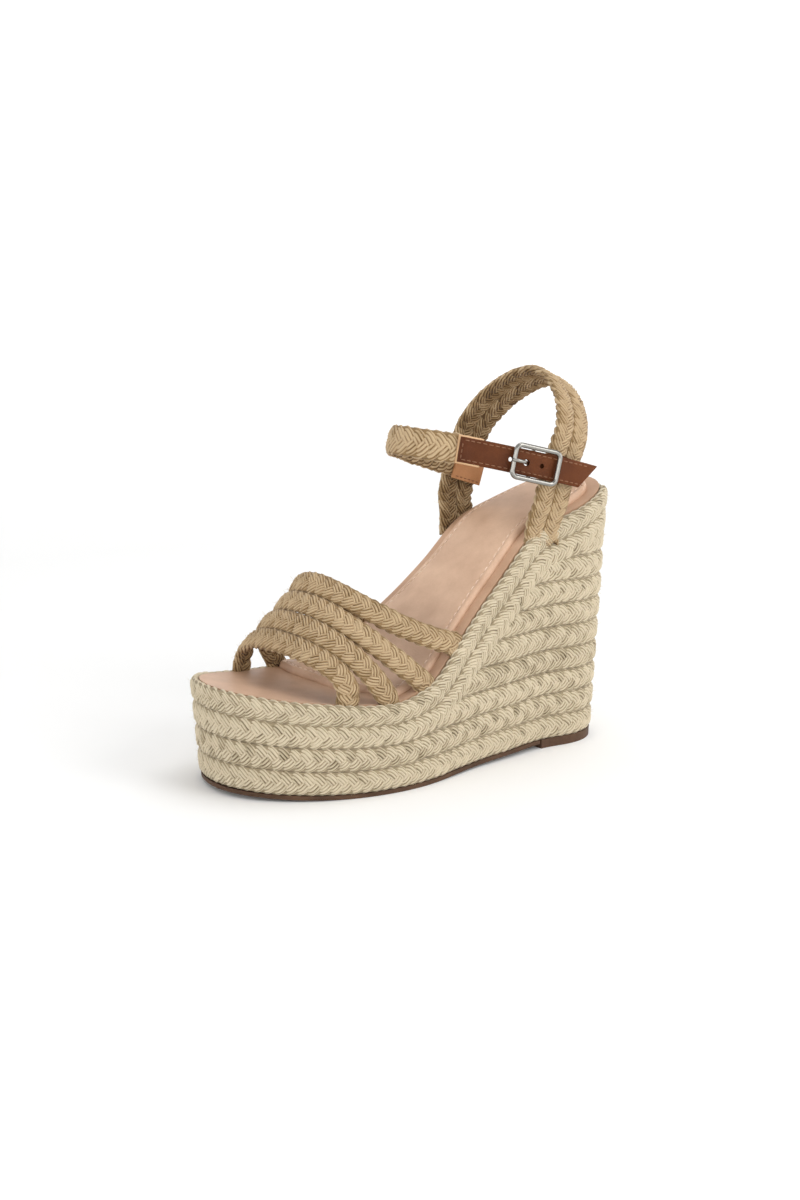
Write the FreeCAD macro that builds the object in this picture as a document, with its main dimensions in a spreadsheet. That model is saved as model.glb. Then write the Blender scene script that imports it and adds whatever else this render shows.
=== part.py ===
"""Left-foot wedge sandal with braided straps, an ankle strap and a centre-bar buckle. Millimetres, +Z up, toe to -Y."""
import FreeCAD, Part
import math
import os
from FreeCAD import Placement, Rotation, Vector

doc = FreeCAD.newDocument("wedge_sandal")

# ---------------------------------------------------------------- driving sizes
SIZES = {
    "origin_x": -0.823,  # where the row's origin lies in the drawing frame
    "origin_y": -1.417,
    "hull_height": 140.0,  # height of the drafted block that the wedge is cut from
    "side_reach": 60.0,  # half length of every side-profile prism
    "braid_proud": 4.0,  # thickness of the wrap braids
    "braid_pitch": 11.5,  # height of one wrap braid
    "rim_flare": 4.35,  # wrap outside the insole board, at the rim
    "base_flare": 2.7,  # wrap outside the insole outline, at the ground
    "heel_pull": 7.65,  # how far the heel runs in at the ground
    "toe_pull": 3.1,
    "sole_thick": 2.0,
    "sole_inset": 0.7,
    "field_front": -12.0,  # front end of the heel braids, behind the point where the rim braids leave the level ones
    "lift_front": 58.5,  # front edge of the heel lift
    "lift_thick": 4.6,
    "cover_depth": 1.2,  # insole cover below the rim
    "cover_thick": 1.0,
    "board_thick": 2.5,
    "board_gap": 0.3,
    "sock_inset": 6.5,
    "sock_front": -52.0,
    "sock_thick": 1.0,
    "foam_thick": 3.0,
    "vamp_width": 10.5,
    "vamp_pitch": 10.9,
    "vamp_thick": 4.0,
    "vamp_tail": 5.0,  # length of each end that is squeezed under the rim
    "strap_width": 20.7,  # heel strap, two braids side by side
    "strap_thick": 4.5,
    "strap_rise": 83.3,
    "strap_post": 49.0,
    "strap_half": 36.2,
    "strap_root": 31.8,
    "hinge_rise": 20.0,  # height of the heel strap's bending line over its root
    "hinge_gap": 0.35,
    "swing_gap": 2.6,  # bare length of the ankle strap where it bends
    "ankle_width": 14.0,
    "ankle_thick": 3.6,
    "leather_width": 12.6,
    "leather_thick": 2.0,
    "leather_split": 73.0,  # length of the leather end, from the tip
    "hole_pitch": 8.3,
    "hole_dia": 3.2,
    "frame_long": 24.0,  # buckle frame, centre to centre of its end bars
    "frame_high": 15.6,
    "frame_wire": 2.4,
    "frame_corner": 3.0,  # bend radius of the frame's middle line
    "frame_lift": 2.6,  # frame's plane above the leather's middle
    "bar_dia": 2.0,
    "bar_drop": 3.3,  # centre bar below the leather's middle
    "prong_dia": 1.7,
    "running_gap": 0.06,
    "tab_thick": 0.9,
    "patch_high": 14.0,
    "patch_thick": 1.2,
    "patch_gap": 0.25,  # patch inside the ankle strap's anchored end
    "tip_snip": 8.5,  # how far the leather tip's lower corner is cut back
    "bar_behind_hole": 4.3,  # centre bar behind the hole that the prong is in
    "tab_gap": 0.6,  # buckle's loop outside the lateral post
}
sheet = doc.addObject("Spreadsheet::Sheet", "sizes")
for row, (alias, value) in enumerate(SIZES.items(), 1):
    sheet.set(f"A{row}", alias)
    sheet.set(f"B{row}", str(value))
    sheet.setAlias(f"B{row}", alias)
doc.recompute()


def size(alias):
    return float(getattr(sheet, alias))


# ---------------------------------------------------------------- shared curves
# Insole board outline in plan, from the toe round the lateral side, heel and medial side.
OUTLINE = [
    (-10, -111.5), (12, -107.5), (29, -91.5), (39.5, -70), (45, -45), (43.5, -18), (36.5, 11.5),
    (32.5, 40), (29.5, 65), (30.5, 84), (23, 102), (0, 109), (-21, 100), (-28.5, 82),
    (-29.5, 60), (-27.5, 35), (-31.5, 7.5), (-41, -20), (-47, -48), (-41.5, -74.5), (-35, -97.5),
]
# Height of the rim along the shoe: flat toe platform, steep arch, gently sloping heel seat.
RIM = [(-122, 54.2), (-80, 47.5), (-45, 44.4), (-25, 48.6), (0, 68.4), (25, 90.5), (50, 111.5), (75, 120.4),
       (95, 127.4), (122, 137.6)]
# Height of the wedge's underside: toe spring, flat tread, waist that rises to the heel lift.
UNDERSIDE = [(-122, 5.0), (-80, 2.6), (-60, 2.0), (-30, 2.0), (0, 2.9), (30, 3.9), (58, 4.6), (122, 4.6)]
FRONT_END, HEEL_END = -122.0, 122.0
ROW_SPLIT = -25.0  # in front of this station the four rows share the platform's height evenly


def monotone(points):
    """Smooth curve through points, as a function and its slope (monotone cubic)."""
    xs, zs = [p[0] for p in points], [p[1] for p in points]
    steps = [(zs[i + 1] - zs[i]) / (xs[i + 1] - xs[i]) for i in range(len(xs) - 1)]
    slopes = [steps[0]] + [0.0] * (len(xs) - 2) + [steps[-1]]
    for i in range(1, len(xs) - 1):
        if steps[i - 1] * steps[i] > 0:
            slopes[i] = 2 / (1 / steps[i - 1] + 1 / steps[i])

    def at(x):
        x = min(max(x, xs[0]), xs[-1])
        i = max(k for k in range(len(xs) - 1) if xs[k] <= x)
        gap = xs[i + 1] - xs[i]
        t = (x - xs[i]) / gap
        return (
            (1 + 2 * t) * (1 - t) ** 2 * zs[i]
            + t * (1 - t) ** 2 * gap * slopes[i]
            + t * t * (3 - 2 * t) * zs[i + 1]
            + t * t * (t - 1) * gap * slopes[i + 1]
        )

    return at


rim_height = monotone(RIM)
underside = monotone(UNDERSIDE)


def rim_slope(y):
    return rim_height(y + 0.5) - rim_height(y - 0.5)


def below_rim(depth, y):
    """Point of the side view that lies depth under the rim, square to it; depth may depend on y."""
    d = depth(y) if callable(depth) else depth
    slope = rim_slope(y)
    root = math.hypot(1, slope)
    return y + d * slope / root, rim_height(y) - d / root


def row_height(y):
    return (rim_height(y) - underside(y)) / 4 if y < ROW_SPLIT else size("braid_pitch")


STATIONS = [FRONT_END, -110, -95, -80, -65, -52, -40, -30, -20, -10, 0, 10, 20, 30, 40, 50, 60, 70, 82, 95, 108,
            HEEL_END]


def curve_at(depth):
    """The side-view curve under the rim, as points, carried past both ends of the shoe."""
    return [below_rim(depth, y) for y in STATIONS]


def height_on(points, y):
    for a, b in zip(points, points[1:]):
        if a[0] <= y <= b[0]:
            return a[1] + (b[1] - a[1]) * (y - a[0]) / (b[0] - a[0])
    return points[0][1] if y < points[0][0] else points[-1][1]


# ---------------------------------------------------------------- plan outlines
def outline_normals():
    count = len(OUTLINE)
    normals = []
    for i in range(count):
        before, after = OUTLINE[i - 1], OUTLINE[(i + 1) % count]
        run = Vector(after[0] - before[0], after[1] - before[1], 0).normalize()
        normals.append(Vector(run.y, -run.x, 0))
    return normals


NORMALS = outline_normals()


def board_point(index, offset):
    x, y = OUTLINE[index]
    return Vector(x, y, 0) + NORMALS[index] * offset


def ground_point(index, offset):
    """The outline at the ground: flared, with the heel run in and the toe drawn back."""
    point = board_point(index, offset)
    heel = min(max((point.y - 40) / 70, 0), 1)
    toe = min(max((-point.y - 60) / 50, 0), 1)
    return point + Vector(0, size("toe_pull") * toe - size("heel_pull") * heel, 0)


def block_point(index, rim_offset, base_offset):
    """The drafted wall carried on past the rim to the block's flat top."""
    low = ground_point(index, base_offset)
    high = board_point(index, rim_offset)
    return low + (high - low) * (size("hull_height") / rim_height(high.y))


def closed_sketch(name, points, height_alias=None):
    curve = Part.BSplineCurve()
    curve.interpolate(Points=[Vector(p.x, p.y, 0) for p in points], PeriodicFlag=True)
    sketch = doc.addObject("Sketcher::SketchObject", name)
    sketch.addGeometry(curve, False)
    if height_alias:
        sketch.setExpression("Placement.Base.z", f"sizes.{height_alias}")
    return sketch


def block(name, rim_offset, base_offset):
    """Solid with the drafted outline of the wedge, from the ground to the block's top."""
    indices = range(len(OUTLINE))
    low = closed_sketch(f"{name}_low", [ground_point(i, base_offset) for i in indices])
    high = closed_sketch(f"{name}_high", [block_point(i, rim_offset, base_offset) for i in indices], "hull_height")
    loft = doc.addObject("Part::Loft", name)
    loft.Sections = [low, high]
    loft.Solid = True
    loft.Ruled = True
    return loft


def upright(name, offset, reach=None):
    """Plain upright prism of the board outline; reach moves single points further out."""
    points = [board_point(i, offset + (reach or {}).get(i, 0.0)) for i in range(len(OUTLINE))]
    prism = doc.addObject("Part::Extrusion", name)
    prism.Base = closed_sketch(f"{name}_plan", points)
    prism.DirMode = "Custom"
    prism.Dir = Vector(0, 0, 1)
    prism.Solid = True
    prism.setExpression("LengthFwd", "sizes.hull_height")
    return prism


def side_prism(name, upper, lower):
    """Prism across the shoe between two side-view curves, each a list of (y, z) with rising y."""
    sketch = doc.addObject("Sketcher::SketchObject", f"{name}_side")
    sketch.Placement = Placement(Vector(), Rotation(Vector(1, 1, 1), 120))
    edges = []
    for run in (upper, list(reversed(lower))):
        points = [Vector(y, z, 0) for y, z in run]
        if len(points) == 2:
            edges.append(Part.LineSegment(points[0], points[1]))
        else:
            curve = Part.BSplineCurve()
            curve.interpolate(points)
            edges.append(curve)
    corners = [upper[0], upper[-1], lower[-1], lower[0]]
    if corners[1] != corners[2]:
        edges.insert(1, Part.LineSegment(Vector(*corners[1], 0), Vector(*corners[2], 0)))
    if corners[3] != corners[0]:
        edges.append(Part.LineSegment(Vector(*corners[3], 0), Vector(*corners[0], 0)))
    sketch.addGeometry(edges, False)
    prism = doc.addObject("Part::Extrusion", name)
    prism.Base = sketch
    prism.DirMode = "Normal"
    prism.Solid = True
    for side in ("LengthFwd", "LengthRev"):
        prism.setExpression(side, "sizes.side_reach")
    return prism


nodes = []


def keep(label, feature):
    """Registers a finished sub-part and puts it in the row's frame."""
    feature.Label = label
    home = feature.Placement
    feature.Placement = Placement(Vector(-size("origin_x"), -size("origin_y"), 0), Rotation()).multiply(home)
    nodes.append(feature)
    return feature


def common(label, base, tool):
    part = doc.addObject("Part::Common", label)
    part.Base = base
    part.Tool = tool
    return keep(label, part)


# ---------------------------------------------------------------- wedge, sole and footbed
def clip(points, first, last):
    """The stretch of a side-view curve between two stations, with its ends worked out."""
    inner = [p for p in points if first + 1.0 < p[0] < last - 1.0]
    return [(first, height_on(points, first))] + inner + [(last, height_on(points, last))]


def whole_length(points):
    return clip(points, FRONT_END + 1, HEEL_END - 1)


def wrap_curves():
    """Side-view seams of the wrap, from the ground up; the first four rows share the platform evenly."""
    low = whole_length(curve_at(row_height))
    lower = whole_length(curve_at(lambda y: 2 * row_height(y)))
    second = [(y, min(underside(y) + 2 * row_height(y), height_on(lower, y))) for y in STATIONS]
    return {
        "floor": whole_length([(y, underside(y)) for y in STATIONS]),
        "first": whole_length([(y, underside(y) + row_height(y)) for y in STATIONS]),
        "second": whole_length(second),
        "rim_lower": lower,
        "rim_low": low,
        "top": whole_length(curve_at(0)),
    }


def slab(count):
    """Level layer of one heel braid, counted from the ground; the third also fills down to the second."""
    box = doc.addObject("Part::Box", f"slab_{count}")
    below = 10.0 if count == 3 else 0.0
    box.setExpression("Length", "2 * sizes.side_reach")
    box.setExpression("Width", "4 * sizes.side_reach")
    box.setExpression("Height", f"sizes.braid_pitch + {below}")
    box.setExpression("Placement.Base.x", "-sizes.side_reach")
    box.setExpression("Placement.Base.y", "sizes.field_front")
    box.setExpression("Placement.Base.z", f"sizes.lift_thick + {count - 1} * sizes.braid_pitch - {below}")
    return box


def wedge():
    proud = size("braid_proud")
    rim, base = size("rim_flare"), size("base_flare")
    outer = block("wall_outer", rim, base)
    inner = block("wall_inner", rim - proud, base - proud)
    wall = doc.addObject("Part::Cut", "wall")
    wall.Base = outer
    wall.Tool = inner
    seams = wrap_curves()
    bands = {}
    for name, upper, lower in (
        ("wrap_row_1", "first", "floor"),
        ("wrap_row_2", "second", "first"),
        ("rim_braid_lower", "rim_low", "rim_lower"),
        ("rim_braid_upper", "top", "rim_low"),
    ):
        bands[name] = side_prism(f"{name}_band", seams[upper], seams[lower])
        common(name, wall, bands[name])
    under_rim = doc.addObject("Part::Common", "under_rim")
    under_rim.Base = wall
    under_rim.Tool = side_prism("under_rim_band", seams["rim_lower"], seams["floor"])
    field = doc.addObject("Part::Cut", "heel_field")
    field.Base = under_rim
    field.Tool = bands["wrap_row_2"]
    for count in range(3, 10):
        common(f"wrap_row_{count}", field, slab(count))
    stack = size("cover_depth") + size("cover_thick") + size("board_thick")
    top = whole_length(curve_at(stack))
    common("wedge_core", inner, side_prism("core_band", top, seams["floor"]))


def sole():
    inset = size("sole_inset")
    outline = block("sole_block", size("rim_flare") - inset, size("base_flare") - inset)
    front = size("lift_front") - 1.0
    top = clip([(y, underside(y)) for y in STATIONS], FRONT_END + 1, front)
    bottom = [(y, z - size("sole_thick")) for y, z in top]
    common("outsole", outline, side_prism("outsole_band", top, bottom))
    first, last, thick = size("lift_front"), HEEL_END - 1, size("lift_thick")
    lift = side_prism("lift_band", [(first, thick), (last, thick)], [(first, 0.0), (last, 0.0)])
    common("heel_lift", outline, lift)


def behind(name, plan, start):
    """The part of a prism behind the station where the sock starts."""
    box = doc.addObject("Part::Box", f"{name}_box")
    box.setExpression("Length", "2 * sizes.side_reach")
    box.setExpression("Width", "4 * sizes.side_reach")
    box.setExpression("Height", "sizes.hull_height")
    box.setExpression("Placement.Base.x", "-sizes.side_reach")
    box.setExpression("Placement.Base.y", start)
    part = doc.addObject("Part::Common", name)
    part.Base = plan
    part.Tool = box
    return part


SOCK_REACH = {17: 0.5, 18: 3.5, 19: 4.0}  # the sock comes nearer to the board's edge at the medial ball


def footbed():
    cover_top = size("cover_depth")
    board_top = cover_top + size("cover_thick")
    core_top = board_top + size("board_thick")
    foam_top = cover_top - size("foam_thick")
    sock_top = foam_top - size("sock_thick")
    inset, skin = size("sock_inset"), size("sock_thick")
    curve = {depth: whole_length(curve_at(depth)) for depth in (sock_top, foam_top, cover_top, board_top, core_top)}
    board = upright("board_block", -size("board_gap"))
    common("insole_board", board, side_prism("board_band", curve[board_top], curve[core_top]))
    common("insole_cover", board, side_prism("cover_band", curve[cover_top], curve[board_top]))
    foam_block = upright("foam_block", -inset - skin, SOCK_REACH)
    foam_plan = behind("foam_plan", foam_block, "sizes.sock_front + sizes.sock_thick")
    foam = common("sock_foam", foam_plan, side_prism("foam_band", curve[foam_top], curve[cover_top]))
    whole = doc.addObject("Part::Common", "sock_whole")
    whole.Base = behind("sock_plan", upright("sock_block", -inset, SOCK_REACH), "sizes.sock_front")
    whole.Tool = side_prism("sock_band", curve[sock_top], curve[cover_top])
    # The kept foam has moved to the row's frame, so the leather is hollowed with a second one.
    filling = doc.addObject("Part::Common", "sock_filling")
    filling.Base = foam.Base
    filling.Tool = foam.Tool
    leather = doc.addObject("Part::Cut", "sock_leather")
    leather.Base = whole
    leather.Tool = filling
    keep("sock_leather", leather)


# ---------------------------------------------------------------- flat bands along a path
def band(path, widths, width, thick, shift=0.0):
    """Solid strip: path points, unit width directions, and the strip's width and thickness."""
    sections = []
    for i, point in enumerate(path):
        ahead, behind = path[min(i + 1, len(path) - 1)], path[max(i - 1, 0)]
        run = (ahead - behind).normalize()
        across = widths[i] - run * widths[i].dot(run)
        across.normalize()
        out = run.cross(across)
        middle = point + across * shift
        corners = [
            middle + across * (a * width / 2) + out * (b * thick / 2)
            for a, b in ((-1, -1), (1, -1), (1, 1), (-1, 1))
        ]
        sections.append(Part.makePolygon(corners + corners[:1]))
    return Part.makeLoft(sections, True, False)


def set_shape(label, shape, place=None):
    part = doc.addObject("Part::Feature", label)
    part.Shape = shape
    if place:
        part.Placement = place
    return keep(label, part)


def board_side(y, side):
    """Point of the rim over the board's edge at station y, side +1 lateral or -1 medial."""
    edge = sorted((p for p in OUTLINE if p[0] * side > 9), key=lambda p: p[1])
    for a, b in zip(edge, edge[1:]):
        if a[1] <= y <= b[1]:
            x = a[0] + (b[0] - a[0]) * (y - a[1]) / (b[1] - a[1])
            return Vector(x, y, rim_height(y))
    raise ValueError(f"no rim at {y}")


# Vamp braids, from the throat to the toe: stations of the lateral and medial ends, roundness of the arch.
VAMP = {
    "vamp_braid_a": (-4.0, -6.0, 2.0),
    "vamp_braid_b": (-24.0, -27.5, 2.1),
    "vamp_braid_c": (-46.0, -48.5, 2.2),
    "vamp_braid_d": (-66.3, -73.0, 2.25),
}
VAMP_CROWN = Vector(-0.3, -67.5, 81.3)  # crown of the whole vamp, midway between braids b and c
VAMP_STACK = Vector(-0.12, 0.62, 0.775).normalize()  # the way the braids are stacked at the crown
FAN = 1.8  # how soon the braids close up above their splayed ends


def rail(y, side):
    return (board_side(y + 2, side) - board_side(y - 2, side)).normalize()


def vamp_path(order, lateral_y, medial_y, roundness, count=16):
    """Middle line of one vamp braid: a stacked arch whose ends fan out along the rim."""
    step = (1.5 - order) * size("vamp_pitch")
    crown = VAMP_CROWN + VAMP_STACK * step
    stacked = {side: board_side(sum(v[k] for v in VAMP.values()) / len(VAMP) + step, side)
               for side, k in ((1, 0), (-1, 1))}
    ends = {1: board_side(lateral_y, 1), -1: board_side(medial_y, -1)}
    rails = {1: rail(lateral_y, 1), -1: rail(medial_y, -1)}
    lift = crown - (stacked[1] + stacked[-1]) * 0.5
    path, widths = [], []
    for k in range(count + 1):
        angle = math.pi * k / count
        cosine, sine = math.cos(angle), math.sin(angle)
        side = 1 if cosine > 0 else -1
        sweep = side * abs(cosine) ** (2 / roundness)
        rise = abs(sine) ** (2 / roundness)
        fan = (ends[side] - stacked[side]) * (1 - rise) ** FAN
        path.append(stacked[1] * ((1 + sweep) / 2) + stacked[-1] * ((1 - sweep) / 2) + lift * rise + fan)
        widths.append(rails[side] * (1 - rise) + VAMP_STACK * rise)
    tail = Vector(0, 0, size("vamp_tail"))
    path = [path[0] - tail] + path + [path[-1] - tail]
    return path, [widths[0]] + widths + [widths[-1]]


def vamp():
    for order, (name, (lateral_y, medial_y, roundness)) in enumerate(VAMP.items()):
        path, widths = vamp_path(order, lateral_y, medial_y, roundness)
        set_shape(name, band(path, widths, size("vamp_width"), size("vamp_thick")))


# ---------------------------------------------------------------- heel strap
STRAP_ROOT = Vector(0.5, 54.1, 106.8)  # middle of the line that joins the two roots
STRAP_AXIS = Vector(70.2, 4.8, 3.0).normalize()
STRAP_ROUND = 1.72  # roundness of the arch over the heel


def lean(rise):
    """Backward lean of the heel strap at a height over its root, in radians."""
    t = rise / size("strap_rise")
    return 0.02 + 1.10 * t - 0.68 * t * t


def strap_point(rise, across):
    steps = 40
    y = z = 0.0
    for k in range(steps):
        angle = lean(rise * (k + 0.5) / steps)
        y += math.sin(angle) * rise / steps
        z += math.cos(angle) * rise / steps
    return STRAP_ROOT + STRAP_AXIS * across + Vector(0, y, z)


def strap_width_way(rise):
    return Vector(0, math.cos(lean(rise)), -math.sin(lean(rise)))


def post_half(rise):
    t = min(max((rise - 4) / 14, 0), 1)
    root, knee = size("strap_root"), size("strap_half") - 1.0
    return root + (knee - root) * t * t * (3 - 2 * t) + rise / size("strap_post")


def strap_path(first, count=9, turns=9):
    """Heel strap from the lateral post at height first, over the top, to the medial post."""
    post, top = size("strap_post"), size("strap_rise")
    rises = [first + (post - first) * k / count for k in range(count)]
    half = [(rise, post_half(rise)) for rise in rises]
    for k in range(turns + 1):
        angle = math.pi / 2 * k / turns
        across = size("strap_half") * math.cos(angle) ** (2 / STRAP_ROUND) if k < turns else 0.0
        half.append((post + (top - post) * math.sin(angle) ** (2 / STRAP_ROUND), across))
    both = half + [(rise, -across) for rise, across in reversed(half[:-1])]
    return [strap_point(*p) for p in both], [strap_width_way(p[0]) for p in both]


def hinge_disc(radius, side, length):
    """Disc about the bending line in the lateral (+1) or medial (-1) post."""
    rise = size("hinge_rise")
    centre = strap_point(rise, side * post_half(rise))
    return Part.makeCylinder(radius, length, centre - STRAP_AXIS * (length / 2), STRAP_AXIS)


def half_space(centre, normal, reach=80.0):
    """Large box on the far side of a plane."""
    box = Part.makeBox(reach, reach, reach, Vector(-reach / 2, -reach / 2, 0))
    box.Placement = Placement(centre, Rotation(Vector(0, 0, 1), normal))
    return box


def heel_strap():
    rise, width, thick = size("hinge_rise"), size("strap_width"), size("strap_thick")
    path, widths = strap_path(rise)
    up = Vector(0, math.sin(lean(rise)), math.cos(lean(rise)))
    ends = {side: strap_point(rise, side * post_half(rise)) for side in (1, -1)}
    for label, way in (("heel_strap_front_braid", -1), ("heel_strap_rear_braid", 1)):
        shape = band(path, widths, width / 2, thick, way * width / 4)
        for side in (1, -1):
            disc = hinge_disc(width / 2, side, thick)
            disc = disc.common(half_space(ends[side], up * -1))
            shape = shape.fuse(disc.common(half_space(ends[side], strap_width_way(rise) * way)))
        set_shape(label, shape.removeSplitter())
    for label, side in (("heel_strap_root_lateral", 1), ("heel_strap_root_medial", -1)):
        top = rise - 0.5 * (width / 2 + size("hinge_gap"))
        levels = [top * k / 6 for k in range(7)]
        path = [strap_point(level, side * post_half(level)) for level in levels]
        root = band(path, [strap_width_way(level) for level in levels], width, thick)
        set_shape(label, root.cut(hinge_disc(width / 2 + size("hinge_gap"), side, 4 * thick)))


# ---------------------------------------------------------------- ankle strap
# Middle line of the buckled ankle strap, from the leather tip round the front to the medial post.
ANKLE = [
    Vector(42.6, 80, 136.8), Vector(42.4, 69, 140.0), Vector(40.9, 55.3, 143.6), Vector(37.6, 40.7, 147.4),
    Vector(32.2, 27, 150.9), Vector(24, 12, 154.5), Vector(13, -2.5, 157.3), Vector(0, -8.5, 158.2),
    Vector(-12.5, -3, 156.6), Vector(-21.5, 9, 152.8), Vector(-27.3, 22, 148.4), Vector(-30.0, 34, 144.4),
    Vector(-30.7, 45, 140.9), Vector(-30.9, 54, 138.0), Vector(-30.9, 63.5, 134.9),
]
ANKLE_UP = Vector(0, 0.286, 0.958)
PRONG_AT = 3  # place on the list where the prong goes through the leather
SWING_AT = 12  # place on the list where the strap bends when it swings open


def ankle_curve():
    curve = Part.BSplineCurve()
    curve.interpolate(ANKLE)
    return curve


def ankle_at(curve, length):
    return curve.value(curve.parameterAtDistance(length, curve.FirstParameter))


def ankle_run(curve, first, last, step=7.0):
    count = max(3, int(round(abs(last - first) / step)))
    path = [ankle_at(curve, first + (last - first) * k / count) for k in range(count + 1)]
    return path, [ANKLE_UP] * len(path)


def strap_frame(curve, length):
    """Origin and axes of the ankle strap at a place: along (to the tip), up, out."""
    at = curve.parameterAtDistance(length, curve.FirstParameter)
    along = curve.tangent(at)[0].normalize() * -1
    up = (ANKLE_UP - along * ANKLE_UP.dot(along)).normalize()
    out = along.cross(up)
    matrix = FreeCAD.Matrix(along.x, up.x, out.x, 0, along.y, up.y, out.y, 0, along.z, up.z, out.z, 0, 0, 0, 0, 1)
    place = Placement(matrix)
    place.Base = curve.value(at)
    return place


def length_to(curve, index):
    """Length along the curve to a point of the ANKLE list."""
    return curve.length(curve.FirstParameter, curve.parameter(ANKLE[index]))


def ankle_strap():
    curve = ankle_curve()
    split = size("leather_split")
    swing = length_to(curve, SWING_AT)
    end = curve.length(curve.FirstParameter, curve.LastParameter)
    width, thick = size("ankle_width"), size("ankle_thick")
    path, widths = ankle_run(curve, split, swing)
    pivot = Part.makeCylinder(thick / 2, width, Vector(0, 0, -width / 2))
    pivot.Placement = Placement(ankle_at(curve, swing), Rotation(Vector(0, 0, 1), ANKLE_UP))
    set_shape("ankle_braid", band(path, widths, width, thick).fuse(pivot).removeSplitter())
    path, widths = ankle_run(curve, swing + size("swing_gap"), end)
    set_shape("ankle_braid_anchor", band(path, widths, width, thick))
    path, widths = ankle_run(curve, 0.0, split - 0.1)
    leather = band(path, widths, size("leather_width"), size("leather_thick"))
    prong_hole = length_to(curve, PRONG_AT)
    for k in (-1, 0, 1):
        place = strap_frame(curve, prong_hole + k * size("hole_pitch"))
        hole = Part.makeCylinder(size("hole_dia") / 2, 8, Vector(0, 0, -4))
        hole.Placement = place
        leather = leather.cut(hole)
    low, high = Vector(-size("tip_snip"), -12, -4), Vector(1, 8, -4)
    corner = Part.makePolygon([low, high, Vector(high.x, low.y, low.z), low])
    snip = Part.Face(corner).extrude(Vector(0, 0, 8))
    snip.Placement = strap_frame(curve, 0.0)
    set_shape("ankle_leather_end", leather.cut(snip))
    patch(curve, swing, end)


def patch(curve, swing, end):
    """Leather patch that covers the strap's anchored end on the inside of the medial post."""
    width, thick = size("strap_width"), size("patch_thick")
    base = size("ankle_thick") / 2 + size("patch_gap")
    place = strap_frame(curve, (swing + end) / 2 + 4.0)
    box = Part.makeBox(width - 2, size("patch_high"), thick,
                       Vector(-(width - 2) / 2, -size("patch_high") / 2 - 1.0, -base - thick))
    box.Placement = place
    set_shape("medial_patch", box)


# ---------------------------------------------------------------- buckle
TAB_RISE = 34.5  # height on the lateral post where the buckle's leather loop is sewn


def buckle_place():
    curve = ankle_curve()
    return strap_frame(curve, length_to(curve, PRONG_AT) - size("bar_behind_hole"))


def buckle_frame(place):
    """Wire frame with a dropped centre bar: the leather passes under both ends and over the bar."""
    half = {"x": "sizes.frame_long / 2", "y": "sizes.frame_high / 2"}
    pieces = []
    for way in (-1, 1):
        for axis, other, turn in (
            ("x", "y", Rotation(Vector(0, 1, 0), 90)),
            ("y", "x", Rotation(Vector(1, 0, 0), -90)),
        ):
            rail = doc.addObject("Part::Cylinder", f"rail_{axis}")
            rail.Placement = Placement(Vector(), turn)
            rail.setExpression("Radius", "sizes.frame_wire / 2")
            rail.setExpression("Height", f"2 * ({half[axis]} - sizes.frame_corner)")
            rail.setExpression(f"Placement.Base.{axis}", f"sizes.frame_corner - {half[axis]}")
            rail.setExpression(f"Placement.Base.{other}", f"{way} * {half[other]}")
            rail.setExpression("Placement.Base.z", "sizes.frame_lift")
            pieces.append(rail)
    for quarter in range(4):
        bend = doc.addObject("Part::Torus", "bend")
        bend.Placement = Placement(Vector(), Rotation(Vector(0, 0, 1), 90 * quarter))
        bend.setExpression("Radius1", "sizes.frame_corner")
        bend.setExpression("Radius2", "sizes.frame_wire / 2")
        bend.Angle3 = 90
        right, up = quarter in (0, 3), quarter in (0, 1)
        bend.setExpression("Placement.Base.x", f"{1 if right else -1} * ({half['x']} - sizes.frame_corner)")
        bend.setExpression("Placement.Base.y", f"{1 if up else -1} * ({half['y']} - sizes.frame_corner)")
        bend.setExpression("Placement.Base.z", "sizes.frame_lift")
        pieces.append(bend)
    legs = []
    for way in (-1, 1):
        leg = doc.addObject("Part::Cylinder", f"bar_leg_{'low' if way < 0 else 'high'}")
        leg.setExpression("Radius", "sizes.bar_dia / 2")
        leg.setExpression("Height", "sizes.bar_drop + sizes.frame_lift")
        leg.setExpression("Placement.Base.y", f"{way} * sizes.frame_high / 2")
        leg.setExpression("Placement.Base.z", "-sizes.bar_drop")
        legs.append(leg)
    bar = doc.addObject("Part::Cylinder", "centre_bar")
    bar.setExpression("Radius", "sizes.bar_dia / 2")
    bar.setExpression("Height", "sizes.frame_high + sizes.bar_dia")
    bar.Placement = Placement(Vector(0, -(size("frame_high") + size("bar_dia")) / 2, -size("bar_drop")),
                              Rotation(Vector(1, 0, 0), -90))
    frame = doc.addObject("Part::MultiFuse", "buckle_frame")
    frame.Shapes = pieces + [bar] + legs
    frame.Refine = False
    frame.Placement = place
    keep("buckle_frame", frame)


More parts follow.
